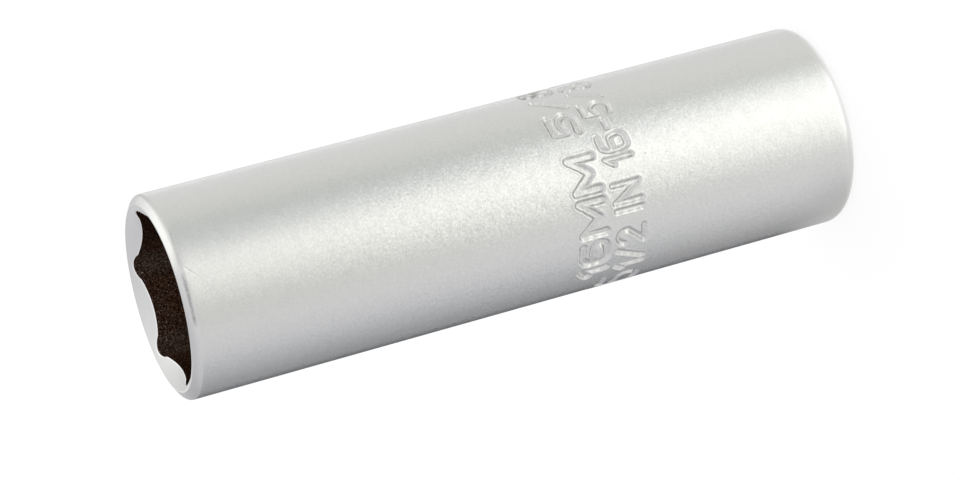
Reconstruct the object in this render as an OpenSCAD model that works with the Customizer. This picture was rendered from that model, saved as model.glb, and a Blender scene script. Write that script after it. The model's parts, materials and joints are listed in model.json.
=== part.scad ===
// Deep six-point spark plug socket with a rubber plug grip inside.
// Frame: the axis is Z, the drive end stands on z = 0 and the mouth faces +Z. Millimetres.

/* [Body] */
// Outside diameter of the round body
outer_d = 21.6; // [21.2:0.1:24]
// Overall length from the drive end to the mouth
total_l = 75; // [70:1:100]
// Radius of the rounded edge at the drive end
drive_edge_r = 1.25; // [0.4:0.05:1.4]

/* [Mouth] */
// Width across the flats of the plug hexagon
hex_af = 16.1; // [16:0.05:16.2]
// Depth of the hexagon below the mouth
hex_depth = 15.5; // [12:0.5:17]
// Radius of the round pocket that relieves each corner of the hexagon
pocket_r = 1.74; // [1.7:0.01:1.8]
// Distance from the axis to the centre of a corner pocket
pocket_offset = 7.47; // [7.44:0.01:7.5]
// Diameter of the countersink where it meets the lip
mouth_d = 19.52; // [19:0.01:19.6]
// Slope of the countersink, measured from the end face
countersink_deg = 35.5; // [30:0.5:45]
// Width of the narrow flat on the crest of the lip
lip_flat = 0.06; // [0.05:0.01:0.2]
// Height of the sloping outer edge of the lip
lip_h = 0.6; // [0.4:0.05:1]

/* [Square drive] */
// Width across the flats of the square drive hole
square_af = 12.8; // [12.75:0.01:13]
// Diameter that the corners of the square are cut to
square_corner_d = 17.2; // [17:0.1:17.4]
// Depth of the square drive hole
square_depth = 16.5; // [16:0.5:18]
// Diameter of the countersink at the square's entry
square_entry_d = 16.2; // [15:0.1:16.8]
// Radius of the ball detent dimples
dimple_r = 3; // [2.5:0.1:3.5]
// Depth of a dimple below the square's flat
dimple_depth = 0.9; // [0.5:0.1:1.2]
// Height of the dimples above the drive end
dimple_z = 8; // [6:0.5:9]

/* [Plug chamber] */
// Diameter of the chamber that takes the plug's insulator
chamber_d = 15.2; // [15:0.1:15.4]
// Thickness of the web between the square and the chamber
web_t = 3.5; // [3:0.5:6]
// Diameter of the hole through the web
web_hole_d = 10.4; // [9:0.1:11]
// Angle of the drill point at the chamber's floor
drill_point_deg = 118; // [110:1:140]

/* [Rubber insert] */
// Diameter of the bore that grips the plug's insulator
grip_d = 10.2; // [9.6:0.1:10.6]
// Length of the insert
insert_l = 14; // [12:0.5:16]
// Gap between the hexagon's shoulder and the insert
insert_gap = 1; // [0.5:0.1:2]
// Diameter of the rib that locks the insert in its groove
rib_d = 16.6; // [16:0.1:17]
// Length of the rib
rib_l = 6; // [4:0.5:8]
// Diameter of the funnel that leads the plug into the insert
funnel_d = 13.4; // [12:0.1:13.6]
// Height of the funnel
funnel_h = 2.5; // [1.5:0.1:3]
// Size of the small chamfer on the insert's edges
insert_edge = 0.4; // [0.2:0.1:0.5]

/* [Hidden] */
$fn = 96;
eps = 0.5;                                          // how far a cutter runs past the face it opens
outer_r = outer_d / 2;
mouth_r = mouth_d / 2;
chamber_r = chamber_d / 2;
pocket_reach = pocket_offset + pocket_r;
corner_trim_r = pocket_reach - 0.07;                // keeps the hexagon's sharp corners inside the pockets
shoulder_z = total_l - hex_depth;
shoulder_h = pocket_reach - chamber_r;              // the shoulder below the hexagon slopes at 45 degrees
chamber_z = square_depth + web_t;
drill_point_h = (chamber_r - web_hole_d / 2) / tan(drill_point_deg / 2);
insert_top = shoulder_z - shoulder_h - insert_gap;
insert_z = insert_top - insert_l;
rib_z = insert_z + (insert_l - rib_l) / 2;

// Half section of the outside: a straight side, a rounded drive edge and a sloping lip
module outside_section() {
    difference() {
        square([outer_r, total_l]);
        translate([outer_r - drive_edge_r, 0]) difference() {
            translate([0, -eps]) square([drive_edge_r + eps, drive_edge_r + eps]);
            translate([0, drive_edge_r]) circle(drive_edge_r);
        }
        polygon([
            [mouth_r + lip_flat, total_l],
            [outer_r, total_l - lip_h],
            [outer_r + eps, total_l - lip_h],
            [outer_r + eps, total_l + eps],
            [mouth_r + lip_flat, total_l + eps]
        ]);
    }
}

// Hexagonal prism with its flats square to X and a round pocket at each corner
module plug_hexagon(h) {
    intersection() {
        rotate(30) cylinder(d = hex_af / cos(30), h = h, $fn = 6);
        cylinder(r = corner_trim_r, h = h);
    }
    for (corner = [0:5])
        rotate(30 + 60 * corner) translate([pocket_offset, 0, 0]) cylinder(r = pocket_r, h = h);
}

// Hexagon, its sloping shoulder and the countersink that opens it to the mouth
module mouth_cutter() {
    countersink_h = mouth_r * tan(countersink_deg);
    translate([0, 0, shoulder_z]) plug_hexagon(hex_depth + eps);
    translate([0, 0, shoulder_z - shoulder_h]) intersection() {
        plug_hexagon(shoulder_h + eps);
        cylinder(r1 = chamber_r, r2 = pocket_reach + eps, h = shoulder_h + eps);
    }
    translate([0, 0, total_l - countersink_h]) cylinder(r1 = 0, r2 = mouth_r, h = countersink_h);
}

// Round chamber with a drilled floor, and the groove that holds the insert's rib
module chamber_cutter() {
    translate([0, 0, chamber_z]) cylinder(r1 = web_hole_d / 2, r2 = chamber_r, h = drill_point_h);
    translate([0, 0, chamber_z + drill_point_h])
        cylinder(r = chamber_r, h = shoulder_z - chamber_z - drill_point_h);
    translate([0, 0, rib_z]) cylinder(d = rib_d, h = rib_l);
    translate([0, 0, square_depth - eps]) cylinder(d = web_hole_d, h = web_t + 2 * eps);
}

// Square hole with trimmed corners, a countersunk entry and four ball detent dimples
module drive_cutter() {
    entry_h = square_entry_d / 2;
    intersection() {
        translate([-square_af / 2, -square_af / 2, -eps])
            cube([square_af, square_af, square_depth + eps]);
        translate([0, 0, -eps]) cylinder(d = square_corner_d, h = square_depth + eps);
    }
    cylinder(d1 = square_entry_d, d2 = 0, h = entry_h);
    for (side = [0:3])
        rotate(90 * side) translate([square_af / 2 + dimple_depth - dimple_r, 0, dimple_z])
            sphere(dimple_r);
}

module socket_body() {
    color("silver") difference() {
        rotate_extrude() outside_section();
        mouth_cutter();
        chamber_cutter();
        drive_cutter();
    }
}

// Soft sleeve behind the hexagon: a ribbed outside and a bore with a funnel towards the mouth
module rubber_insert() {
    color("dimgray") rotate_extrude() polygon([
        [grip_d / 2, insert_z + insert_edge],
        [grip_d / 2 + insert_edge, insert_z],
        [chamber_r - insert_edge, insert_z],
        [chamber_r, insert_z + insert_edge],
        [chamber_r, rib_z],
        [rib_d / 2, rib_z],
        [rib_d / 2, rib_z + rib_l],
        [chamber_r, rib_z + rib_l],
        [chamber_r, insert_top - insert_edge],
        [chamber_r - insert_edge, insert_top],
        [funnel_d / 2, insert_top],
        [grip_d / 2, insert_top - funnel_h]
    ]);
}

socket_body();
rubber_insert();
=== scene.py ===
import json
import math

import bpy
import numpy as np
from mathutils import Matrix, Quaternion, Vector

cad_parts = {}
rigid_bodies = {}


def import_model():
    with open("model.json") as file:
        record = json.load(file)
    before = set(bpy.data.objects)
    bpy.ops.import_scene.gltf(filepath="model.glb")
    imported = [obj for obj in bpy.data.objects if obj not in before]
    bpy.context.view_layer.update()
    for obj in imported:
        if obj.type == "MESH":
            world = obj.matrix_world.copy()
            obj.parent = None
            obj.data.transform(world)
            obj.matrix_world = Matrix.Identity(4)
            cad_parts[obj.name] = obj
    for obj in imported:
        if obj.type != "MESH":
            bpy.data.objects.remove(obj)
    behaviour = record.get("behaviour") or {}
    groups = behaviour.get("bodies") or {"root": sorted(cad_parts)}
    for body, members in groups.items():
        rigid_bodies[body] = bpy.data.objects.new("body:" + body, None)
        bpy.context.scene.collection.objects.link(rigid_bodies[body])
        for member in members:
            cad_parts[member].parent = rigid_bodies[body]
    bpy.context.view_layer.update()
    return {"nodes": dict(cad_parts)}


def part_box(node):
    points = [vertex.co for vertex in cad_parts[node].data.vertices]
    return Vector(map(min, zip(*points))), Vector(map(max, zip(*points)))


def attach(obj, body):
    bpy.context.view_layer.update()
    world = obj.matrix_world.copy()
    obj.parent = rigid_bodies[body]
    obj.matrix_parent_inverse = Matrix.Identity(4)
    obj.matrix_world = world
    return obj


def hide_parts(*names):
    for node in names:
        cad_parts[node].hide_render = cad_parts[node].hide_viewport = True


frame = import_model()
scene = bpy.context.scene
scene.view_settings.view_transform = "Standard"

mm = 0.001
tiny = 1e-9  # margin for divisions and comparisons
bodyLow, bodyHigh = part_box("socket_body")
insertLow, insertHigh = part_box("rubber_insert")
outerR = (bodyHigh[0] - bodyLow[0]) / 2 / mm
totalLength = bodyHigh[2] / mm
insertFoot, insertTop = insertLow[2] / mm, insertHigh[2] / mm
ribR = insertHigh[0] / mm  # the insert is widest at its rib
print("frame loaded:", ", ".join(frame["nodes"]))

# Camera: found from the outline of the mouth, the sides and the far edge

photoCamera = {
    "lens": 124.8,  # mm
    "sensor": 36.0,  # mm wide
    "clip": (0.01, 20.0),  # metres
    "eye": (142.03, -297.57, 153.41),  # mm
    "aim": (-2.52, -1.23, 39.97),
    "roll": 105.26,  # degrees clockwise, so that the socket lies across the frame
}


def makeCamera(setup):
    data = bpy.data.cameras.new("photoCamera")
    data.lens = setup["lens"]
    data.sensor_width = setup["sensor"]
    data.clip_start, data.clip_end = setup["clip"]
    camera = bpy.data.objects.new("photoCamera", data)
    scene.collection.objects.link(camera)
    eye, aim = Vector(setup["eye"]) * mm, Vector(setup["aim"]) * mm
    level = (aim - eye).to_track_quat("-Z", "Y")
    camera.location = eye
    camera.rotation_mode = "QUATERNION"
    camera.rotation_quaternion = level @ Quaternion((0, 0, 1), -math.radians(setup["roll"]))
    scene.camera = camera


makeCamera(photoCamera)
print("camera placed")


# Small helpers for node trees and the values that they read


def addNode(tree, kind, inputs=None, **settings):
    node = tree.nodes.new(kind)
    for name, value in settings.items():
        setattr(node, name, value)
    for name, value in (inputs or {}).items():
        if isinstance(value, bpy.types.NodeSocket):
            tree.links.new(value, node.inputs[name])
        else:
            node.inputs[name].default_value = value
    return node


def mathNode(tree, operation, first, second=0.0, third=0.0, clamp=False):
    inputs = {0: first, 1: second, 2: third}
    return addNode(tree, "ShaderNodeMath", inputs, operation=operation, use_clamp=clamp).outputs[0]


def vectorNode(tree, operation, first, second=(0, 0, 0)):
    # second is a vector, or the factor of SCALE
    inputs = {0: first, "Scale" if operation == "SCALE" else 1: second}
    node = addNode(tree, "ShaderNodeVectorMath", inputs, operation=operation)
    return node.outputs["Value" if operation == "DOT_PRODUCT" else "Vector"]


def attributeNode(tree, name):
    return addNode(tree, "ShaderNodeAttribute", attribute_name=name).outputs["Fac"]


def storeValues(mesh, name, values):
    # one number for each point of a mesh, which a material reads by its name
    attribute = mesh.attributes.new(name, "FLOAT", "POINT")
    attribute.data.foreach_set("value", values.astype(np.float32))


def rampNode(tree, factor, stops, interpolation="EASE"):
    ramp = addNode(tree, "ShaderNodeValToRGB", {"Fac": factor})
    ramp.color_ramp.interpolation = interpolation
    elements = ramp.color_ramp.elements
    while len(elements) < len(stops):
        elements.new(0.5)
    for element, (place, tone) in zip(elements, stops):
        element.position = place
        element.color = (*tone, 1)
    return ramp.outputs["Color"]


def twoTones(tree, factor, span, tones):
    # from the first tone to the second as the factor crosses the span
    return rampNode(tree, factor, list(zip(span, tones)))


def rise(tree, value, limits):
    node = addNode(tree, "ShaderNodeMapRange", {
        "Value": value, "From Min": limits[0], "From Max": limits[1],
    }, interpolation_type="SMOOTHSTEP")
    return node.outputs[0]


def mixTones(tree, factor, first, second, blend="MIX"):
    inputs = {0: factor, 6: first, 7: second}
    return addNode(tree, "ShaderNodeMix", inputs, data_type="RGBA", blend_type=blend).outputs[2]


# Studio: a pale tent with a soft key low on one side and one darker side, over a white floor

studio = {
    "brightest": 2.0,  # light of a full tone on the tent
    # light from the tent by compass direction in degrees, for each height of its wall: straight below,
    "nadirWall": [
        (-180, (0.98, 0.98, 0.98)),
        (-60, (1.06, 1.06, 1.05)),
        (60, (1.02, 1.02, 1.02)),
        (180, (0.98, 0.98, 0.98)),
    ],
    # the pale ground,
    "groundWall": [
        (-180, (0.88, 0.88, 0.88)),
        (-140, (1.04, 1.04, 1.04)),
        (-110, (1.14, 1.14, 1.13)),
        (-78, (1.66, 1.66, 1.62)),
        (-18, (1.72, 1.72, 1.69)),
        (5, (1.14, 1.14, 1.12)),
        (45, (1.06, 1.06, 1.05)),
        (70, (1.08, 1.08, 1.07)),
        (92, (1.44, 1.44, 1.43)),
        (106, (1.60, 1.60, 1.59)),
        (120, (1.30, 1.30, 1.29)),
        (140, (0.84, 0.84, 0.84)),
        (160, (0.80, 0.80, 0.80)),
        (180, (0.88, 0.88, 0.88)),
    ],
    # the foot, as the drive end mirrors it,
    "footWall": [
        (-180, (0.66, 0.66, 0.67)),
        (-153, (0.86, 0.86, 0.88)),
        (-130, (1.00, 1.00, 1.01)),
        (-108, (1.06, 1.07, 1.06)),
        (-94, (1.22, 1.24, 1.21)),
        (-80, (1.57, 1.58, 1.53)),
        (-64, (1.80, 1.80, 1.74)),
        (-44, (1.95, 1.95, 1.88)),
        (-28, (1.84, 1.85, 1.82)),
        (-12, (1.51, 1.54, 1.51)),
        (4, (1.09, 1.10, 1.07)),
        (24, (1.06, 1.06, 1.03)),
        (60, (1.00, 1.00, 1.00)),
        (80, (0.95, 0.95, 0.95)),
        (97, (1.01, 1.01, 1.02)),
        (112, (0.42, 0.42, 0.43)),
        (135, (0.16, 0.16, 0.17)),
        (151, (0.44, 0.44, 0.45)),
        (166, (0.48, 0.48, 0.49)),
        (180, (0.66, 0.66, 0.67)),
    ],
    # the low wall, as the mouth end mirrors it,
    "lowWall": [
        (-180, (0.53, 0.54, 0.57)),
        (-153, (0.77, 0.78, 0.81)),
        (-130, (0.92, 0.91, 0.95)),
        (-110, (0.94, 0.94, 0.93)),
        (-94, (0.83, 0.83, 0.80)),
        (-80, (0.87, 0.88, 0.83)),
        (-66, (1.09, 1.09, 1.04)),
        (-50, (1.30, 1.30, 1.25)),
        (-34, (1.17, 1.19, 1.14)),
        (-20, (0.81, 0.83, 0.82)),
        (-6, (0.70, 0.73, 0.72)),
        (6, (0.69, 0.74, 0.71)),
        (20, (0.88, 0.90, 0.85)),
        (45, (1.01, 1.00, 0.98)),
        (84, (1.03, 1.03, 1.04)),
        (98, (1.06, 1.06, 1.07)),
        (112, (0.42, 0.42, 0.43)),
        (135, (0.14, 0.15, 0.16)),
        (151, (0.37, 0.38, 0.39)),
        (166, (0.43, 0.44, 0.46)),
        (180, (0.53, 0.54, 0.57)),
    ],
    # and the middle and the high wall, as the lip and the countersink mirror them
    "midWall": [
        (-180, (0.78, 0.78, 0.81)),
        (-130, (0.95, 0.95, 0.97)),
        (0, (1.00, 1.00, 1.00)),
        (60, (0.96, 0.96, 0.96)),
        (90, (0.80, 0.80, 0.80)),
        (112, (0.78, 0.78, 0.79)),
        (126, (0.68, 0.68, 0.70)),
        (138, (0.58, 0.58, 0.61)),
        (160, (0.62, 0.62, 0.66)),
        (180, (0.78, 0.78, 0.81)),
    ],
    "highWall": [
        (-180, (0.86, 0.86, 0.89)),
        (-90, (1.00, 1.00, 1.01)),
        (-20, (1.10, 1.10, 1.10)),
        (40, (1.28, 1.28, 1.26)),
        (75, (1.34, 1.34, 1.31)),
        (90, (1.26, 1.26, 1.25)),
        (108, (0.95, 0.95, 0.97)),
        (128, (0.74, 0.74, 0.78)),
        (146, (0.76, 0.76, 0.80)),
        (162, (0.88, 0.88, 0.92)),
        (180, (0.86, 0.86, 0.89)),
    ],
    "ceiling": (1.00, 1.00, 1.02),
    # heights of a direction where each gives way to the next
    "groundStart": (-0.9, -0.52),
    "footStart": (-0.56, -0.43),
    "lowStart": (-0.48, -0.2),
    "midStart": (-0.25, -0.14),
    "highStart": (0.25, 0.72),
    "ceilingStart": (0.85, 1.0),
    "floorTone": 0.9,
    "floorGlow": 1.04,
    "floorGlowShare": 0.82,  # share of that glow in what the camera sees, to keep the shadow faint
    "floorSize": 4.0,  # metres
    "floorDrop": 0.05,  # mm below the part
    # cards on the floor that only the plating sees. At each turn, in degrees round the axis: the light,
    # or one value all round, and the share of the cover. At each edge: mm from the axis and up, the cover
    "cards": {
        "edgeCard": {
            "turn": (-165, -150, -120, -95, -75, -53, -20, 0, 25, 40),
            "glow": (0.70, 0.70, 0.88, 1.02, 1.24, 1.36, 1.24, 1.12, 1.00, 1.00),
            "share": (0, 1, 1, 1, 1, 1, 1, 1, 1, 0),
            "edges": ((9.5, 0.01), (11.0, 0.01), (11.5, 0.01)),
            "cover": (1, 1, 0),
        },
        "keyCard": {
            "turn": (-82, -72, -42, -32),
            "glow": 1.7,
            "share": (0, 1, 1, 0),
            "edges": ((11.0, 0), (11.8, 0), (13.0, 0)),
            "cover": (1, 1, 0),
        },
        "bounceCard": {
            "turn": (136, 166, 232, 262),
            "glow": 0.75,
            "share": (0, 1, 1, 0),
            "edges": ((10.2, 0), (24.0, 0)),
            "cover": (1, 0),
        },
    },
    "cardColumns": 71,
    "cardDrop": 0.03,  # mm below the part
    # strip lamps beyond the mouth that only the plating sees: both ends and the width in mm, milliwatts
    "strips": {
        "lipStrip": {
            "start": (7.0, 33.0, 80.0),
            "end": (10.5, 5.0, 104.0),
            "width": 13.0,
            "power": 0.4,
        },
        "mouthStrip": {
            "start": (-26.0, 53.0, 79.0),
            "end": (-39.0, 31.0, 110.0),
            "width": 13.0,
            "power": 0.9,
        },
    },
    "stripAim": (0.0, 0.0, totalLength),
    "softboxPower": 0.6,  # watts
    "softboxSize": 0.7,  # metres
    "softboxPlace": (0.09, 0.48, 0.63),  # metres
}


def tentRamp(tree, compass, stops, brightest):
    places = [((degrees + 180) / 360, tuple(c / brightest for c in tone)) for degrees, tone in stops]
    return rampNode(tree, compass, places, "CARDINAL")


def makeWorld(setup):
    world = bpy.data.worlds.new("paleTent")
    world.use_nodes = True
    tree = world.node_tree
    tree.nodes.clear()
    brightest = setup["brightest"]
    place = addNode(tree, "ShaderNodeTexCoord").outputs["Generated"]
    axes = addNode(tree, "ShaderNodeSeparateXYZ", {0: place}).outputs
    compass = mathNode(tree, "ARCTAN2", axes["Y"], axes["X"])
    compass = mathNode(tree, "MULTIPLY_ADD", compass, 0.5 / math.pi, 0.5)
    ceiling = tuple(c / brightest for c in setup["ceiling"])
    tent = tentRamp(tree, compass, setup["nadirWall"], brightest)
    for wall in ("ground", "foot", "low", "mid", "high"):
        above = tentRamp(tree, compass, setup[wall + "Wall"], brightest)
        tent = mixTones(tree, rise(tree, axes["Z"], setup[wall + "Start"]), tent, above)
    tent = mixTones(tree, rise(tree, axes["Z"], setup["ceilingStart"]), tent, (*ceiling, 1))
    lit = addNode(tree, "ShaderNodeBackground", {"Color": tent, "Strength": brightest})
    white = addNode(tree, "ShaderNodeBackground", {"Color": (1, 1, 1, 1), "Strength": 1})
    camera = addNode(tree, "ShaderNodeLightPath").outputs["Is Camera Ray"]
    both = addNode(tree, "ShaderNodeMixShader", {0: camera, 1: lit.outputs[0], 2: white.outputs[0]})
    addNode(tree, "ShaderNodeOutputWorld", {"Surface": both.outputs[0]})
    scene.world = world


def makeFloor(setup):
    half = setup["floorSize"] / 2
    mesh = bpy.data.meshes.new("studioFloor")
    corners = [(-half, -half, 0), (half, -half, 0), (half, half, 0), (-half, half, 0)]
    mesh.from_pydata(corners, [], [(0, 1, 2, 3)])
    floor = bpy.data.objects.new("studioFloor", mesh)
    scene.collection.objects.link(floor)
    floor.location.z = -setup["floorDrop"] * mm
    floor.visible_glossy = False  # the plating shows the tent, not the floor

    paper = bpy.data.materials.new("whitePaper")
    paper.use_nodes = True
    tree = paper.node_tree
    tree.nodes.clear()
    tone = setup["floorTone"]
    matte = addNode(tree, "ShaderNodeBsdfDiffuse", {"Color": (tone, tone, tone, 1)})
    camera = addNode(tree, "ShaderNodeLightPath").outputs["Is Camera Ray"]
    glow = addNode(tree, "ShaderNodeEmission", {"Strength": setup["floorGlow"]})
    share = mathNode(tree, "MULTIPLY", camera, setup["floorGlowShare"])
    both = addNode(tree, "ShaderNodeMixShader", {0: share, 1: matte.outputs[0], 2: glow.outputs[0]})
    addNode(tree, "ShaderNodeOutputMaterial", {"Surface": both.outputs[0]})
    mesh.materials.append(paper)


def makeSoftbox(setup):
    data = bpy.data.lights.new("softbox", "AREA")
    data.shape = "DISK"
    data.size = setup["softboxSize"]
    data.energy = setup["softboxPower"]
    lamp = bpy.data.objects.new("softbox", data)
    scene.collection.objects.link(lamp)
    lamp.location = setup["softboxPlace"]
    lamp.rotation_euler = (-lamp.location).to_track_quat("-Z", "Y").to_euler()
    lamp.visible_glossy = False


def makeStrip(name, setup, aim):
    start, end = Vector(setup["start"]) * mm, Vector(setup["end"]) * mm
    data = bpy.data.lights.new(name, "AREA")
    data.shape = "RECTANGLE"
    data.size, data.size_y = (end - start).length, setup["width"] * mm
    data.energy = setup["power"] * mm
    lamp = bpy.data.objects.new(name, data)
    scene.collection.objects.link(lamp)
    lamp.location = (start + end) / 2
    along = (end - start).normalized()
    across = (lamp.location - Vector(aim) * mm).cross(along).normalized()
    lamp.rotation_euler = Matrix((along, across, along.cross(across))).transposed().to_euler()
    lamp.visible_camera = lamp.visible_diffuse = False


def makeCard(cardName, setup, count, drop):
    # a strip of paper bent round the axis
    stops, edges = setup["turn"], setup["edges"]
    degrees = np.linspace(stops[0], stops[-1], count)
    angles = np.radians(degrees)
    points = [(r * mm * math.cos(a), r * mm * math.sin(a), z * mm) for r, z in edges for a in angles]
    starts = [e * count + i for e in range(len(edges) - 1) for i in range(count - 1)]
    mesh = bpy.data.meshes.new(cardName)
    mesh.from_pydata(points, [], [(i, i + count, i + count + 1, i + 1) for i in starts])
    glow = np.interp(degrees, stops, np.broadcast_to(setup["glow"], len(stops)))
    share = np.interp(degrees, stops, setup["share"])
    storeValues(mesh, "glow", np.tile(glow, len(edges)))
    storeValues(mesh, "cover", np.outer(setup["cover"], share).ravel())
    card = bpy.data.objects.new(cardName, mesh)
    scene.collection.objects.link(card)
    card.location.z = -drop * mm
    card.visible_camera = card.visible_diffuse = card.visible_shadow = False

    paper = bpy.data.materials.new(cardName)
    paper.use_nodes = True
    tree = paper.node_tree
    tree.nodes.clear()
    light = addNode(tree, "ShaderNodeEmission", {"Strength": attributeNode(tree, "glow")}).outputs[0]
    clear = addNode(tree, "ShaderNodeBsdfTransparent").outputs[0]
    cover = attributeNode(tree, "cover")
    faded = addNode(tree, "ShaderNodeMixShader", {0: cover, 1: clear, 2: light})
    addNode(tree, "ShaderNodeOutputMaterial", {"Surface": faded.outputs[0]})
    mesh.materials.append(paper)


makeWorld(studio)
makeFloor(studio)
for card, setup in studio["cards"].items():
    makeCard(card, setup, studio["cardColumns"], studio["cardDrop"])
for strip, setup in studio["strips"].items():
    makeStrip(strip, setup, studio["stripAim"])
makeSoftbox(studio)
print("studio lit")


# Socket body: rings of points run up the outside, in over the lip and down the bore to the drive end

socketBody = {
    "columns": 360,  # the sizes below are in mm
    "hexAcross": 16.1,
    "hexDepth": 15.5,
    "pocketR": 1.74,
    "pocketOffset": 7.47,
    "mouthR": 9.76,
    "countersinkDeg": 35.5,
    "lipHeight": 0.6,
    "creaseRound": 0.5,
    "creaseSteps": 8,
    "crestRound": 0.3,
    "crestSteps": 6,
    "hexEdgeRound": 0.09,
    "hexEdgeShares": (0.25, 0.05, 0.9),  # of it: middle ring outwards and down, last ring down
    # share of the painted highlight on the middle ring of the rounded hex edge
    "hexEdgeHighlight": 0.8,
    "hexRows": (0.15, 0.6),  # share of the hexagon's depth
    "pocketMargin": 0.05,  # outside the flats, where a pocket's painted light begins
    "driveEdgeR": 1.25,
    "driveEdgeRows": 7,
    "footGap": 0.3,  # plain wall's first ring above the drive edge
    "footRows": 6,
    "footBlast": ((4, 24), (0.6, 1.0)),  # mm up, and the strength of the blasted grain there
    "bandGap": 0.5,  # plain wall's rings next to the stamped band
    "mouthRows": 10,
    "mouthGap": 0.7,  # plain wall's last ring below the lip
    "mouthBlast": ((44, 66), (1.0, 0.45)),
    "squareAcross": 12.8,
    "squareCornerR": 8.6,
    "squareDepth": 16.5,
    "squareEntryR": 8.1,
    "dimpleR": 3.0,
    "dimpleDepth": 0.9,
    "dimpleZ": 8.0,
    "dimpleReach": 2.4,  # fine rows this far above and below its middle
    "dimpleRows": 20,
    "squareFoot": 4.0,  # last row of the square above its entry
    "chamberR": 7.6,
    "webThick": 3.5,
    "webHoleR": 5.2,
    "drillPointDeg": 118,
    "ribLength": 6.0,
    "sharpDeg": 28,  # edges that turn further than this stay hard inside
    "sharpReach": 8.7,  # up to this far from the axis
}

chrome, darkBore = 0, 1  # material slots


def turns(count, sector=0.0, column=0.0, kink=0.0):
    # angles round the axis; in each half sector the column at that angle is moved onto the kink
    degrees = np.arange(count) * 360 / count
    if sector:
        half = sector / 2
        local = (degrees + half) % sector - half
        size = np.abs(local)
        moved = np.interp(size, [0, column, half], [0, kink, half])
        degrees = degrees - local + np.sign(local) * moved
    return np.radians(degrees)


def ring(radius, height, turn):
    radius, height = np.broadcast_to(radius, turn.shape), np.broadcast_to(height, turn.shape)
    return np.stack([radius * np.cos(turn), radius * np.sin(turn), height], axis=1)


def fillet(before, corner, after, radius, steps):
    # points of an arc that rounds a corner of a profile, from the first side to the second
    before, corner, after = (np.array(p, float) for p in (before, corner, after))
    inward = (before - corner) / np.linalg.norm(before - corner)
    outward = (after - corner) / np.linalg.norm(after - corner)
    halfAngle = math.acos(np.clip(inward @ outward, -1, 1)) / 2
    bisector = (inward + outward) / np.linalg.norm(inward + outward)
    centre = corner + bisector * radius / math.sin(halfAngle)
    start = corner + inward * radius / math.tan(halfAngle) - centre
    end = corner + outward * radius / math.tan(halfAngle) - centre
    sweep = math.pi - 2 * halfAngle
    points = []
    for step in range(steps + 1):
        share = step / steps
        mix = start * math.sin((1 - share) * sweep) + end * math.sin(share * sweep)
        points.append(tuple(centre + mix / math.sin(sweep)))
    return points


def meshFromRings(name, rings, slots):
    # strips of faces between neighbouring rings and from the last one back to the first;
    # a ring may have twice the columns of the next one
    starts = np.cumsum([0] + [len(r) for r in rings])
    faces, faceSlots = [], []
    for low in range(len(rings)):
        high = (low + 1) % len(rings)
        lowCount, highCount = len(rings[low]), len(rings[high])
        count = min(lowCount, highCount)
        i = np.arange(count)
        a = [starts[low] + (i * lowCount // count + k) % lowCount for k in range(lowCount // count + 1)]
        b = [starts[high] + (i * highCount // count + k) % highCount for k in range(highCount // count + 1)]
        faces += np.stack(a + b[::-1], axis=1).tolist()
        faceSlots += [slots[low]] * count
    mesh = bpy.data.meshes.new(name)
    mesh.from_pydata((np.concatenate(rings) * mm).tolist(), [], faces)
    mesh.polygons.foreach_set("use_smooth", [True] * len(faces))
    mesh.polygons.foreach_set("material_index", faceSlots)
    mesh.update()
    piece = bpy.data.objects.new(name, mesh)
    scene.collection.objects.link(piece)
    return piece


def ribEnds(length):
    # the rib and its groove are halfway along the insert
    middle = (insertFoot + insertTop) / 2
    return middle - length / 2, middle + length / 2


def hexKinkFromCorner(size):
    # angle at which a pocket's circle crosses the flat beside it
    half = size["hexAcross"] / 2
    gap = half - size["pocketOffset"] * math.cos(math.pi / 6)
    along = size["pocketOffset"] * math.sin(math.pi / 6) - math.sqrt(size["pocketR"] ** 2 - gap ** 2)
    return math.pi / 6 - math.atan2(along, half)


def hexRadius(turn, size):
    # distance from the axis to the hexagon's wall, with a round pocket in place of each corner
    fromFlat = np.abs((turn + math.pi / 6) % (math.pi / 3) - math.pi / 6)
    fromCorner = math.pi / 6 - fromFlat
    flat = size["hexAcross"] / 2 / np.cos(fromFlat)
    inside = size["pocketR"] ** 2 - (size["pocketOffset"] * np.sin(fromCorner)) ** 2
    pocket = size["pocketOffset"] * np.cos(fromCorner) + np.sqrt(np.maximum(inside, 0))
    return np.where(fromCorner < hexKinkFromCorner(size) + tiny, pocket, flat)


def squareRadius(turn, height, size):
    # distance from the axis to the square's wall, with trimmed corners and a ball dimple in each flat
    fromFlat = (turn + math.pi / 4) % (math.pi / 2) - math.pi / 4
    half = size["squareAcross"] / 2
    along = half * np.tan(fromFlat)
    away = along ** 2 + (height - size["dimpleZ"]) ** 2
    ball = np.sqrt(np.maximum(size["dimpleR"] ** 2 - away, 0)) - size["dimpleR"] + size["dimpleDepth"]
    flat = (half + np.maximum(ball, 0)) / np.cos(fromFlat)
    return np.minimum(flat, size["squareCornerR"])


# Size marks: a large number and two lines of stamped strokes beside it, repeated round the body

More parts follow.
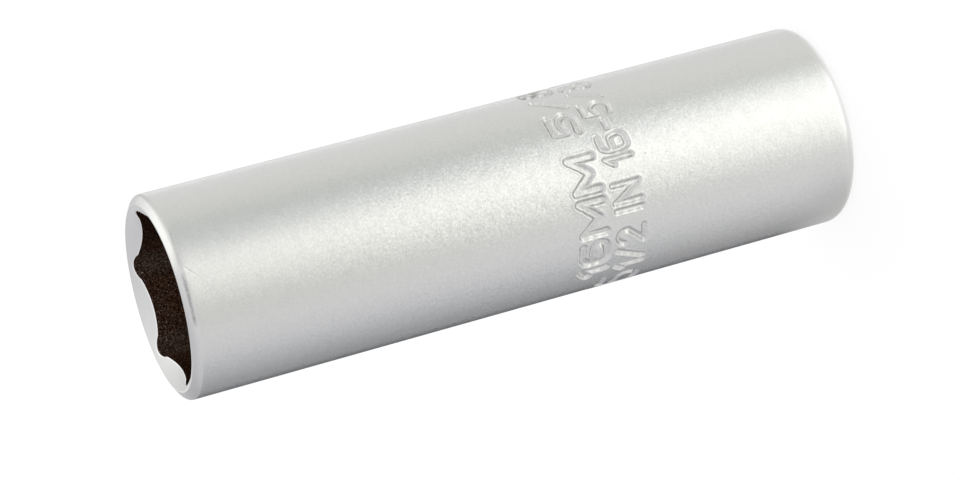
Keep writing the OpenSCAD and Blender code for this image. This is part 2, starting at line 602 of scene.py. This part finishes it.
sizeMarks = {
    "sets": 2,
    "startTurn": -162.0,  # degrees round the axis where a set begins
    "rowStep": 0.1,
    "margin": 0.5,
    "rim": 0.022,  # height of the metal pushed up beside a stroke
    "rimAway": 0.2,  # its middle, from the stroke's side
    "rimWidth": 0.12,
    "ragged": 0.03,  # wander of a stroke's sides
    "raggedWaves": ((5.3, 2.1, 0.0), (-1.7, 4.1, 0.8)),  # radians for a mm along and up, and the shift
    # in mm, apart from wide, which scales the width of the signs; wall is the sloping side of a stroke
    "lines": [
        {
            "text": "16", "start": 0.0, "low": 25.0, "height": 4.6, "wide": 0.8,
            "stroke": 0.6, "gap": 0.5, "depth": 0.24, "wall": 0.42,
        },
        {
            "text": "16MM 5/8", "start": 6.6, "low": 29.15, "height": 3.5, "wide": 0.98,
            "stroke": 0.8, "gap": 0.42, "depth": 0.36, "wall": 0.38,
        },
        {
            "text": "1/2 IN 16-5/8", "start": 6.6, "low": 25.05, "height": 3.45, "wide": 0.64,
            "stroke": 0.5, "gap": 0.34, "depth": 0.30, "wall": 0.4,
        },
    ],
}


def bend(centreX, centreY, reachX, reachY, start, end, step=15):
    count = max(2, round(abs(end - start) / step))
    angles = np.radians(np.linspace(start, end, count + 1))
    return [(centreX + reachX * math.cos(a), centreY + reachY * math.sin(a)) for a in angles]


# a sign's width as a share of its height, and its centre lines in a box one wide and one high
strokeSigns = {
    "1": (0.34, [[(0, 0.72), (1, 1), (1, 0)]]),
    "6": (0.95, [[(0.92, 1), *bend(0.36, 0.64, 0.36, 0.36, 90, 180), *bend(0.3, 0.29, 0.3, 0.29, 180, 270),
                  *bend(0.7, 0.29, 0.3, 0.29, 270, 450), (0.04, 0.58)]]),
    "M": (1.32, [[(0, 0), (0, 1), (0.5, 0.24), (1, 1), (1, 0)]]),
    "5": (0.95, [[(0.94, 1), (0.08, 1), (0.05, 0.56), *bend(0.48, 0.32, 0.5, 0.32, 100, -100),
                  (0.0, 0.05)]]),
    "/": (0.8, [[(0, 0), (1, 1)]]),
    "2": (0.95, [[*bend(0.48, 0.7, 0.46, 0.3, 165, -25), (0, 0), (1, 0)]]),
    "-": (0.55, [[(0, 0.48), (1, 0.48)]]),
    "8": (0.95, [bend(0.5, 0.77, 0.42, 0.23, 0, 360), bend(0.5, 0.27, 0.5, 0.27, 0, 360)]),
    "I": (0.02, [[(0, 0), (0, 1)]]),
    "N": (1.0, [[(0, 0), (0, 1), (1, 0), (1, 1)]]),
    " ": (0.25, []),
}


def lineSegments(line):
    # every stroke of a line of signs as pieces from point to point, in mm along and up
    inner = line["height"] - line["stroke"]
    segments, at = [], line["start"] + line["stroke"] / 2
    for sign in line["text"]:
        share, strokes = strokeSigns[sign]
        width = share * inner * line["wide"]
        for stroke in strokes:
            points = [(at + x * width, line["low"] + line["stroke"] / 2 + y * inner) for x, y in stroke]
            segments += list(zip(points[:-1], points[1:]))
        at += width + line["stroke"] + line["gap"]
    return segments


def stampDepth(along, height, marks):
    # depth of the stamping in mm at places on the body, and how far into a stroke they lie, from 0 to 1
    depth, inside = np.zeros_like(along), np.zeros_like(along)
    for line in marks["lines"]:
        nearest, ragged = np.full_like(along, np.inf), marks["ragged"]
        for (x0, y0), (x1, y1) in lineSegments(line):
            dx, dy = x1 - x0, y1 - y0
            share = np.clip(((along - x0) * dx + (height - y0) * dy) / (dx * dx + dy * dy + tiny), 0, 1)
            nearest = np.minimum(nearest, np.hypot(along - x0 - share * dx, height - y0 - share * dy))
        for waveX, waveY, shift in marks["raggedWaves"]:
            ragged = ragged * np.sin(waveX * along + waveY * height + shift)
        nearest = nearest + ragged
        edge = np.clip((line["stroke"] / 2 - nearest) / line["wall"] + 0.5, 0, 1)
        edge = edge * edge * (3 - 2 * edge)
        rim = (nearest - line["stroke"] / 2 - marks["rimAway"]) / marks["rimWidth"]
        rim = np.exp(-(rim ** 2))
        depth += line["depth"] * edge - marks["rim"] * rim
        inside = np.maximum(inside, edge)
    return depth, inside


def bodyRings(size, marks):
    plain, fine = turns(size["columns"]), turns(size["columns"] * 2)
    hexKink = 30 - math.degrees(hexKinkFromCorner(size))
    hexTurns = turns(size["columns"], 60, round(hexKink), hexKink)
    squareKink = math.degrees(math.acos(size["squareAcross"] / 2 / size["squareCornerR"]))
    squareTurns = turns(size["columns"], 90, round(squareKink), squareKink)
    rings, slots = [], []
    masks = {name: [] for name in ("stamp", "blast", "polish", "turned", "pocket", "rim")}

    def add(radius, height, turn=plain, slot=chrome, **values):
        rings.append(ring(radius, height, turn))
        slots.append(slot)
        for name, mask in masks.items():
            mask.append(np.broadcast_to(values.get(name, 0.0), turn.shape))

    # outside: rounded drive edge, straight wall, lip
    edge = size["driveEdgeR"]
    for angle in np.linspace(0, math.pi / 2, size["driveEdgeRows"]):
        add(outerR - edge + edge * math.sin(angle), edge - edge * math.cos(angle))
    wallTop = totalLength - size["lipHeight"]
    bandLow = min(line["low"] for line in marks["lines"]) - marks["margin"]
    bandHigh = max(line["low"] + line["height"] for line in marks["lines"]) + marks["margin"]
    for height in np.linspace(edge + size["footGap"], bandLow - size["bandGap"], size["footRows"]):
        add(outerR, height, blast=np.interp(height, *size["footBlast"]))
    pitch = 2 * math.pi * outerR / marks["sets"]
    along = (fine - math.radians(marks["startTurn"])) * outerR % pitch
    for height in np.arange(bandLow, bandHigh, marks["rowStep"]):
        depth, inside = stampDepth(along, np.full_like(along, height), marks)
        add(outerR - depth, height, fine, stamp=inside, blast=1.0)
    for height in np.linspace(bandHigh + size["bandGap"], wallTop - size["mouthGap"], size["mouthRows"]):
        add(outerR, height, blast=np.interp(height, *size["mouthBlast"]))
    slope = math.tan(math.radians(size["countersinkDeg"]))
    crest = (size["mouthR"], totalLength)
    crease = (outerR, wallTop)
    coneTip = (0, totalLength - size["mouthR"] * slope)  # of the countersink
    for point in fillet((outerR, edge), crease, crest, size["creaseRound"], size["creaseSteps"]):
        add(*point)
    crestPoints = fillet(crease, crest, coneTip, size["crestRound"], size["crestSteps"])
    for share, point in zip(np.linspace(0, 1, len(crestPoints)), crestPoints):
        add(*point, turned=share)

    # mouth: countersink, scalloped edge, hexagon and its shoulder
    wall = hexRadius(hexTurns, size)
    rounding = size["hexEdgeRound"]
    edgeZ = totalLength - (size["mouthR"] - wall) * slope
    middleOut, middleDown, lastDown = (rounding * share for share in size["hexEdgeShares"])
    add(wall + rounding, edgeZ + rounding * slope, hexTurns, turned=1.0)
    # the middle ring of the rounded edge carries a painted highlight, a pale line in the chrome's colour
    add(wall + middleOut, edgeZ - middleDown, hexTurns, polish=size["hexEdgeHighlight"])
    kinkR = size["hexAcross"] / 2 / math.cos(math.radians(hexKink))
    # the bore's finish paints the pockets paler, as painted light
    pocket = (wall > kinkR + size["pocketMargin"]).astype(float)
    add(wall, edgeZ - lastDown, hexTurns, darkBore, pocket=pocket, rim=1.0)
    shoulderZ = totalLength - size["hexDepth"]
    reach = size["pocketOffset"] + size["pocketR"]
    for share in size["hexRows"]:
        add(wall, edgeZ + (shoulderZ - edgeZ) * share, hexTurns, darkBore, pocket=pocket)
    add(wall, shoulderZ - (reach - wall), hexTurns, darkBore, pocket=pocket)
    chamberR = size["chamberR"]
    add(chamberR, shoulderZ - (reach - chamberR), plain, darkBore)

    # chamber with the groove for the insert's rib, drilled floor and the hole through the web
    chamberZ = size["squareDepth"] + size["webThick"]
    pointRise = (chamberR - size["webHoleR"]) / math.tan(math.radians(size["drillPointDeg"] / 2))
    ribLow, ribHigh = ribEnds(size["ribLength"])
    for radius, height in (
        (chamberR, ribHigh), (ribR, ribHigh), (ribR, ribLow), (chamberR, ribLow),
        (chamberR, chamberZ + pointRise), (size["webHoleR"], chamberZ),
        (size["webHoleR"], size["squareDepth"]),
    ):
        add(radius, height, plain, darkBore)

    # square drive with its dimples, countersunk entry and the flat end
    middle, reach = size["dimpleZ"], size["dimpleReach"]
    dimpleHeights = np.linspace(middle + reach, middle - reach, size["dimpleRows"])
    for height in (size["squareDepth"], *dimpleHeights, size["squareFoot"]):
        add(squareRadius(squareTurns, height, size), height, squareTurns, darkBore)
    corner = squareRadius(squareTurns, 0, size)
    add(corner, np.maximum(size["squareEntryR"] - corner, 0), squareTurns)
    add(np.maximum(corner, size["squareEntryR"]), 0, squareTurns)
    return rings, slots, {name: np.concatenate(values) for name, values in masks.items()}


def hardenInside(mesh, size):
    # hard edges in the drive hole and the chamber; the mouth and the outside keep their roundings
    mesh.set_sharp_from_angle(angle=math.radians(size["sharpDeg"]))
    points = np.empty(3 * len(mesh.vertices), np.float32)
    mesh.vertices.foreach_get("co", points)
    ends = np.empty(2 * len(mesh.edges), np.int32)
    mesh.edges.foreach_get("vertices", ends)
    x, y, z = points.reshape(-1, 3).T / mm
    inside = (np.hypot(x, y) < size["sharpReach"]) & (z < totalLength - size["hexDepth"])
    sharp, marked = np.empty(len(mesh.edges), bool), mesh.attributes["sharp_edge"].data
    marked.foreach_get("value", sharp)
    marked.foreach_set("value", sharp & inside[ends].reshape(-1, 2).all(axis=1))


def makeSocketBody(size, marks):
    rings, slots, masks = bodyRings(size, marks)
    piece = meshFromRings("socketBody", rings, slots)
    hardenInside(piece.data, size)
    for name, values in masks.items():
        storeValues(piece.data, name, values)
    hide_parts("socket_body")
    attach(piece, "root")
    return piece


# Finishes, with painted highlights on the chrome, and painted shade and painted light in the bore

satinChrome = {
    "tone": (0.630, 0.630, 0.620),
    "toneGrain": 0.96,  # share of it in the darkest grains
    "turnedTone": (0.635, 0.635, 0.63),
    # pale tone of the painted highlight on the rounded hex edge
    "polishTone": (0.95, 0.93, 0.93),
    "grainSpan": (0.25, 0.7),  # of the noise, between the darkest grains and the palest
    "stampTones": ((0.56, 0.56, 0.55), (0.64, 0.64, 0.63)),  # in the bottom of a stamped stroke
    "stampSpan": (0.35, 0.65),
    "stampRoughness": 0.05,  # added there
    "turnedRoughness": 0.25,  # added on the countersink
    "roughness": (0.21, 0.27),  # from the smoothest to the roughest patch
    "grainScale": 4700.0,
    "grainTilt": 0.17,  # how far the fine grain leans the surface
    "tiltDetail": 1.0,
    "glintScale": 8000.0,
    "glintTilt": 0.10,  # how far the few steepest grains lean round the body
    "glintSpan": (0.6, 0.95),  # of chance, between the flat grains and the steepest
    "glintMean": 0.22,  # taken off, so that they lean by nought on average
    "patchScale": 900.0,
    "patchSpan": (0.3, 0.7),
    "patchHeight": 0.000022,
    "lineTaper": 7.0,  # how soon a line is whole behind its ends
    "lineCore": 0.2,  # share of its width at full depth
    "breakScale": 2600.0,
    "breakSpan": (0.4, 0.55),
    "breakLeast": 0.65,  # share of a line that is left where it breaks
    # scratches, darker lines along the lip's crease, and painted highlights where the share is negative:
    # degrees round the axis and mm up at both ends, width in mm, share of light lost
    "darkLinesAndHighlights": [
        ((-27.0, 74.12), (-52.0, 74.42), 0.20, 0.14),
        ((-54.0, 74.43), (-85.0, 74.38), 0.22, 0.42),
        ((-50.0, 74.06), (-60.0, 74.02), 0.28, -0.12),
        ((-50.5, 74.18), (-58.3, 72.88), 0.06, 0.30),
        ((-51.3, 74.27), (-57.8, 73.35), 0.06, -0.15),
        ((-62.2, 71.60), (-66.1, 71.69), 0.05, 0.12),
        ((-63.8, 24.79), (-70.3, 23.53), 0.06, -0.12),
        ((-75.0, 24.18), (-78.5, 23.52), 0.06, -0.15),
        ((-56.2, 23.82), (-57.1, 23.64), 0.13, 0.25),
    ],
}


def newFinish(name):
    material = bpy.data.materials.new(name)
    material.use_nodes = True
    tree = material.node_tree
    place = addNode(tree, "ShaderNodeTexCoord").outputs["Object"]
    return material, tree, tree.nodes["Principled BSDF"], place


def noise(tree, place, scale, detail=2.0, output="Fac"):
    inputs = {"Vector": place, "Scale": scale, "Detail": detail}
    return addNode(tree, "ShaderNodeTexNoise", inputs).outputs[output]


def bumpNode(tree, height, distance, strength=1.0):
    inputs = {"Height": height, "Strength": strength, "Distance": distance}
    return addNode(tree, "ShaderNodeBump", inputs).outputs[0]


def tiltNode(tree, place, look, amount, normal):
    # leans the surface in every direction: fine random steps, and a few small facets that lean further
    step = noise(tree, place, look["grainScale"], look["tiltDetail"], "Color")
    step = vectorNode(tree, "SUBTRACT", step, (0.5, 0.5, 0.5))
    step = vectorNode(tree, "SCALE", step, mathNode(tree, "MULTIPLY", amount, look["grainTilt"]))
    facets = addNode(tree, "ShaderNodeTexVoronoi", {"Vector": place, "Scale": look["glintScale"]})
    chance = addNode(tree, "ShaderNodeSeparateXYZ", {0: facets.outputs["Color"]}).outputs["X"]
    reach = mathNode(tree, "SUBTRACT", rise(tree, chance, look["glintSpan"]), look["glintMean"])
    reach = mathNode(tree, "MULTIPLY", mathNode(tree, "MULTIPLY", amount, reach), look["glintTilt"])
    glint = vectorNode(tree, "SCALE", vectorNode(tree, "CROSS_PRODUCT", normal, (0, 0, 1)), reach)
    for part in (step, glint):
        normal = vectorNode(tree, "ADD", normal, part)
    return vectorNode(tree, "NORMALIZE", normal)


def lineMask(tree, along, height, start, end, width, look):
    # a scratch, a darker line or a painted highlight on a straight line laid on the body's wall, fading to
    # nought at its sides
    x0, y0 = math.radians(start[0]) * outerR, start[1]
    dx, dy = math.radians(end[0]) * outerR - x0, end[1] - y0
    fromX = mathNode(tree, "SUBTRACT", along, x0)
    fromY = mathNode(tree, "SUBTRACT", height, y0)
    reach = dx * dx + dy * dy
    share = mathNode(tree, "MULTIPLY_ADD", fromX, dx / reach, mathNode(tree, "MULTIPLY", fromY, dy / reach))
    share = mathNode(tree, "MINIMUM", mathNode(tree, "MAXIMUM", share, 0.0), 1.0)
    offX = mathNode(tree, "MULTIPLY_ADD", share, -dx, fromX)
    offY = mathNode(tree, "MULTIPLY_ADD", share, -dy, fromY)
    away = mathNode(tree, "MULTIPLY_ADD", offX, offX, mathNode(tree, "MULTIPLY", offY, offY))
    away = mathNode(tree, "SQRT", away)
    ends = mathNode(tree, "MULTIPLY", share, mathNode(tree, "SUBTRACT", 1.0, share))
    taper = mathNode(tree, "MULTIPLY", ends, look["lineTaper"], clamp=True)
    sides = rise(tree, away, (look["lineCore"] * width, width))
    return mathNode(tree, "MULTIPLY", taper, mathNode(tree, "SUBTRACT", 1.0, sides))


def makeSatinChrome(look):
    material, tree, shader, place = newFinish("satinChrome")
    masks = ("stamp", "blast", "polish", "turned")
    stamp, blast, polish, turned = (attributeNode(tree, name) for name in masks)
    grain = noise(tree, place, look["grainScale"])
    patches = noise(tree, place, look["patchScale"])
    darkest = tuple(c * look["toneGrain"] for c in look["tone"])
    tone = twoTones(tree, grain, look["grainSpan"], (darkest, look["tone"]))
    tone = mixTones(tree, stamp, tone, twoTones(tree, grain, look["stampSpan"], look["stampTones"]))
    # painted highlight: the rounded hex edge made pale
    tone = mixTones(tree, polish, tone, (*look["polishTone"], 1))
    tone = mixTones(tree, turned, tone, (*look["turnedTone"], 1))
    axes = addNode(tree, "ShaderNodeSeparateXYZ", {0: place}).outputs
    along = mathNode(tree, "MULTIPLY", mathNode(tree, "ARCTAN2", axes["Y"], axes["X"]), outerR)
    height = mathNode(tree, "DIVIDE", axes["Z"], mm)
    broken = rise(tree, noise(tree, place, look["breakScale"]), look["breakSpan"])
    broken = mathNode(tree, "MULTIPLY_ADD", broken, 1 - look["breakLeast"], look["breakLeast"])
    left = 1.0  # share of the tone that the dark lines leave; a painted highlight raises it above one
    # dark lines take tone away; a negative share paints a highlight
    for start, end, width, loss in look["darkLinesAndHighlights"]:
        mark = lineMask(tree, along, height, start, end, width, look)
        mark = mathNode(tree, "MULTIPLY", mark, broken)
        left = mathNode(tree, "MULTIPLY_ADD", mark, -loss, left)
    tone = mixTones(tree, 1.0, tone, left, "MULTIPLY")
    rough = addNode(tree, "ShaderNodeMapRange", {
        "Value": patches, "From Min": look["patchSpan"][0], "From Max": look["patchSpan"][1],
        "To Min": look["roughness"][0], "To Max": look["roughness"][1],
    }).outputs[0]
    rough = mathNode(tree, "MULTIPLY_ADD", stamp, look["stampRoughness"], rough)
    rough = mathNode(tree, "MULTIPLY_ADD", turned, look["turnedRoughness"], rough)
    bumped = bumpNode(tree, patches, look["patchHeight"], blast)
    bumped = tiltNode(tree, place, look, blast, bumped)
    tree.links.new(tone, shader.inputs["Base Color"])
    tree.links.new(rough, shader.inputs["Roughness"])
    tree.links.new(bumped, shader.inputs["Normal"])
    shader.inputs["Metallic"].default_value = 1
    return material


boreFinish = {
    "dark": (0.010, 0.0025, 0.0004),
    "brown": (0.098, 0.050, 0.030),
    # paler tone of the painted light in the pockets
    "pocketLitTone": (0.094, 0.067, 0.051),
    "speck": (0.46, 0.40, 0.35),
    "gritScale": 5200.0,
    "gritDetail": 3,
    "gritSpan": (0.32, 0.74),  # of the noise, between the dark and the brown
    "pocketSpan": (0.35, 0.7),  # and between those and the pocket's painted light
    "gritHeight": 0.00004,
    "speckScale": 9200.0,
    "speckDetail": 1,
    "speckSpan": (0.63, 0.74),
    "speckInside": 0.6,  # share of the specks that is left below the rim
    "shadeTurn": 28.0,  # degrees round the axis of the two sides with the darkest painted shade
    "shadeSpan": (0.4, 0.95),  # cosine of the angle from them, from no painted shade to the full
    "paintedShade": 0.70,  # share of the brown lost to the painted shade there
    "rimDarkening": 0.5,  # and at the rim of the mouth
    "roughness": 0.55,
    "specular": 0.0,
}


def makeBoreFinish(look):
    material, tree, shader, place = newFinish("darkBore")
    grit = noise(tree, place, look["gritScale"], look["gritDetail"])
    speck = noise(tree, place, look["speckScale"], look["speckDetail"])
    base = twoTones(tree, grit, look["gritSpan"], (look["dark"], look["brown"]))
    # painted light: the pockets paler, in patches broken by the grit
    pocketLitShare = mathNode(tree, "MULTIPLY", attributeNode(tree, "pocket"), rise(tree, grit, look["pocketSpan"]))
    base = mixTones(tree, pocketLitShare, base, (*look["pocketLitTone"], 1))
    # painted shade: the bore darker on two sides, by the angle round the axis
    angle = math.radians(look["shadeTurn"])
    side = vectorNode(tree, "NORMALIZE", vectorNode(tree, "MULTIPLY", place, (1, 1, 0)))
    side = vectorNode(tree, "DOT_PRODUCT", side, (math.cos(angle), math.sin(angle), 0))
    paintedShade = rise(tree, mathNode(tree, "ABSOLUTE", side), look["shadeSpan"])
    base = mixTones(tree, mathNode(tree, "MULTIPLY", paintedShade, look["paintedShade"]), base, (*look["dark"], 1))
    rim = attributeNode(tree, "rim")
    base = mixTones(tree, mathNode(tree, "MULTIPLY", rim, look["rimDarkening"]), base, (*look["dark"], 1))
    shine = mathNode(tree, "MULTIPLY_ADD", rim, 1 - look["speckInside"], look["speckInside"])
    shine = mathNode(tree, "MULTIPLY", shine, rise(tree, speck, look["speckSpan"]))
    shine = mathNode(tree, "MULTIPLY", shine, mathNode(tree, "MULTIPLY_ADD", paintedShade, -look["paintedShade"], 1.0))
    tree.links.new(mixTones(tree, shine, base, (*look["speck"], 1)), shader.inputs["Base Color"])
    tree.links.new(bumpNode(tree, grit, look["gritHeight"]), shader.inputs["Normal"])
    shader.inputs["Roughness"].default_value = look["roughness"]
    shader.inputs["Specular IOR Level"].default_value = look["specular"]
    return material


bodyPiece = makeSocketBody(socketBody, sizeMarks)
bodyPiece.data.materials.append(makeSatinChrome(satinChrome))
bodyPiece.data.materials.append(makeBoreFinish(boreFinish))
print("socket body:", len(bodyPiece.data.polygons), "faces")


# Rubber insert: one turned outline that grips the plug, held in the chamber by its rib

rubberInsert = {
    "columns": 120,
    "gripR": 5.1,
    "outsideR": socketBody["chamberR"],
    "ribLength": socketBody["ribLength"],
    "funnelR": 6.7,
    "funnelHeight": 2.5,
    "edge": 0.4,
    "cornerRound": 0.12,
    "cornerSteps": 4,
    "tones": ((0.016, 0.016, 0.017), (0.034, 0.033, 0.032)),  # darkest and palest
    "mottleScale": 1400.0,
    "mottleDetail": 6,
    "mottleSpan": (0.35, 0.7),
    "grainHeight": 0.00002,
    "roughness": 0.68,
    "specular": 0.35,
}


def makeRubber(look):
    material, tree, shader, place = newFinish("blackRubber")
    mottle = noise(tree, place, look["mottleScale"], look["mottleDetail"])
    tone = twoTones(tree, mottle, look["mottleSpan"], look["tones"])
    tree.links.new(tone, shader.inputs["Base Color"])
    tree.links.new(bumpNode(tree, mottle, look["grainHeight"]), shader.inputs["Normal"])
    shader.inputs["Roughness"].default_value = look["roughness"]
    shader.inputs["Specular IOR Level"].default_value = look["specular"]
    return material


def makeRubberInsert(size):
    low, high, edge = insertFoot, insertTop, size["edge"]
    grip, outside = size["gripR"], size["outsideR"]
    ribLow, ribHigh = ribEnds(size["ribLength"])
    outline = [
        (grip + edge, low), (outside - edge, low), (outside, low + edge),
        (outside, ribLow), (ribR, ribLow), (ribR, ribHigh), (outside, ribHigh),
        (outside, high - edge), (outside - edge, high), (size["funnelR"], high),
        (grip, high - size["funnelHeight"]), (grip, low + edge),
    ]
    rings = []
    for before, corner, after in zip(outline[-1:] + outline[:-1], outline, outline[1:] + outline[:1]):
        for radius, height in fillet(before, corner, after, size["cornerRound"], size["cornerSteps"]):
            rings.append(ring(radius, height, turns(size["columns"])))
    piece = meshFromRings("rubberInsert", rings, [0] * len(rings))
    piece.data.materials.append(makeRubber(size))
    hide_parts("rubber_insert")
    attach(piece, "root")
    return piece


insertPiece = makeRubberInsert(rubberInsert)
print("rubber insert:", len(insertPiece.data.polygons), "faces")
